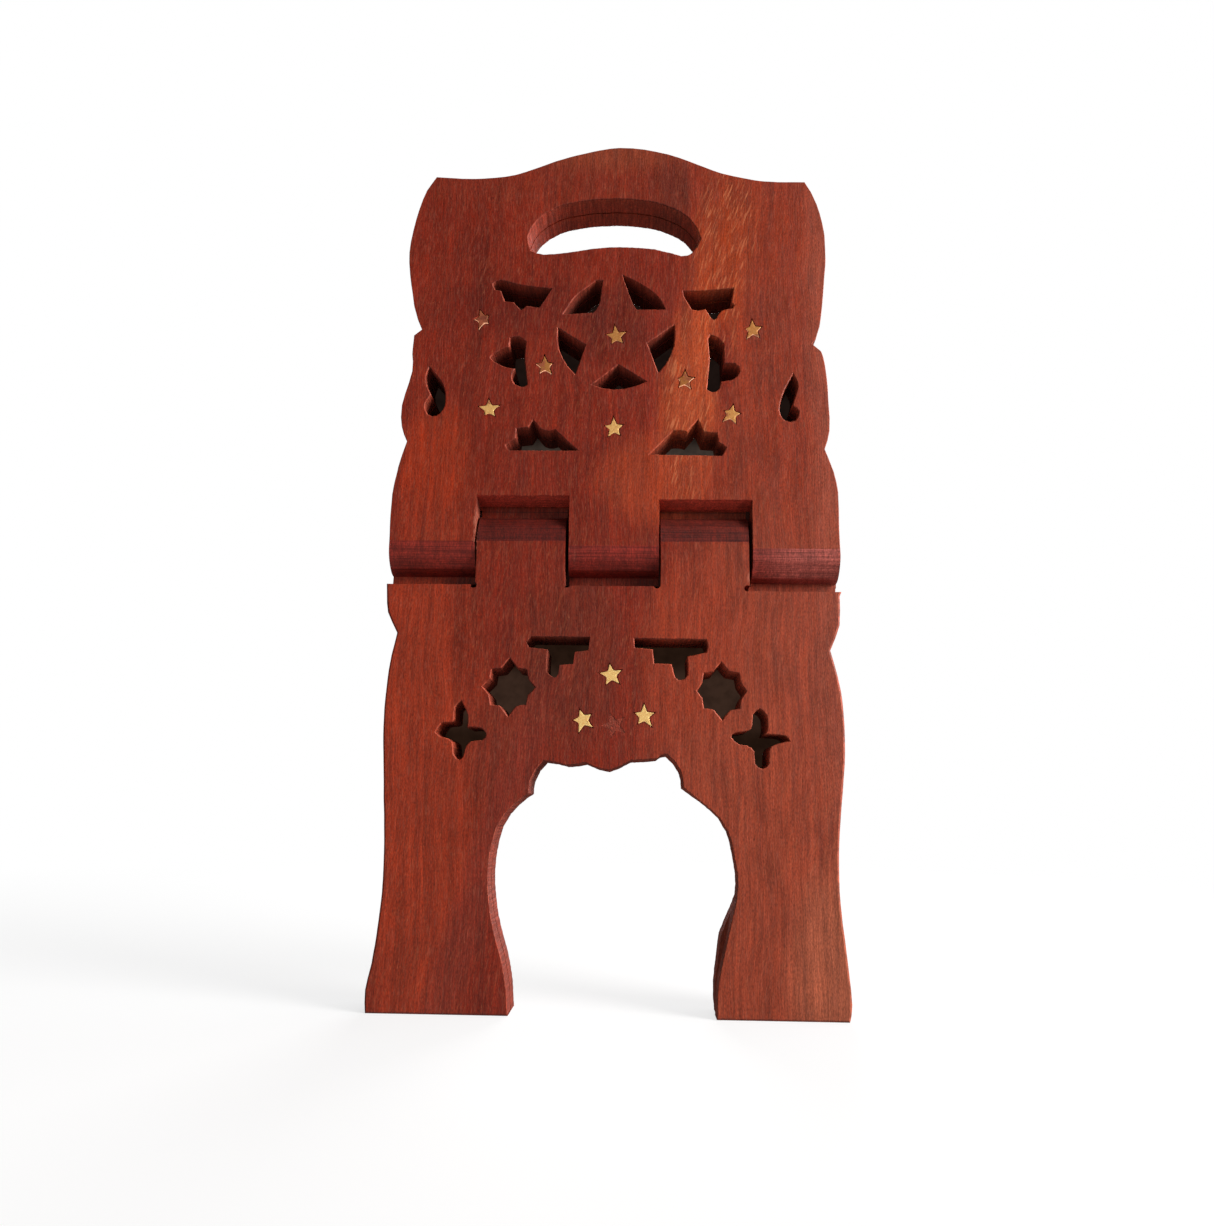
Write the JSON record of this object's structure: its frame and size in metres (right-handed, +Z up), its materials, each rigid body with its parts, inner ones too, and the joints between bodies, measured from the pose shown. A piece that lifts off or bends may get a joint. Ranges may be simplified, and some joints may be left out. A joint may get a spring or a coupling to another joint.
{
  "type": "folding quran stand",
  "caption": "Flat-folding wooden book stand: two fretworked leaves cross at a hinge carved from the same plank and open into an X that holds a book.",
  "frame": {"origin": "middle of the soles, at mid-thickness of the folded stand, on the ground", "axes": "+Z up from the soles to the crest; +X across the stand, to the right in a front view; +Y from the front face to the rear face, through the thickness"},
  "size_m": [0.1794, 0.02, 0.356],
  "materials": {
    "wood": "red-brown stained hardwood, satin",
    "brass": "filed and lightly scratched"
  },
  "bodies": {
    "leaf_a": {"leaf_a": "wood", "front_star_1": "brass", "front_star_2": "brass", "front_star_3": "brass", "front_star_4": "brass", "front_star_5": "brass", "front_star_6": "brass", "front_star_7": "brass", "front_star_8": "brass", "rear_star_9": "brass", "rear_star_10": "brass", "rear_star_11": "brass", "rear_star_12": "brass"},
    "leaf_b": {"leaf_b": "wood", "front_star_9": "brass", "front_star_10": "brass", "front_star_11": "brass", "rear_star_1": "brass", "rear_star_2": "brass", "rear_star_3": "brass", "rear_star_4": "brass", "rear_star_5": "brass", "rear_star_6": "brass", "rear_star_7": "brass", "rear_star_8": "brass"}
  },
  "joints": [
    {"name": "hinge", "type": "hinge", "parent": "leaf_a", "child": "leaf_b", "pos_m": [0, 0, 0.178], "axis": [-1, 0, 0], "range_deg": [0, 120]}
  ]
}
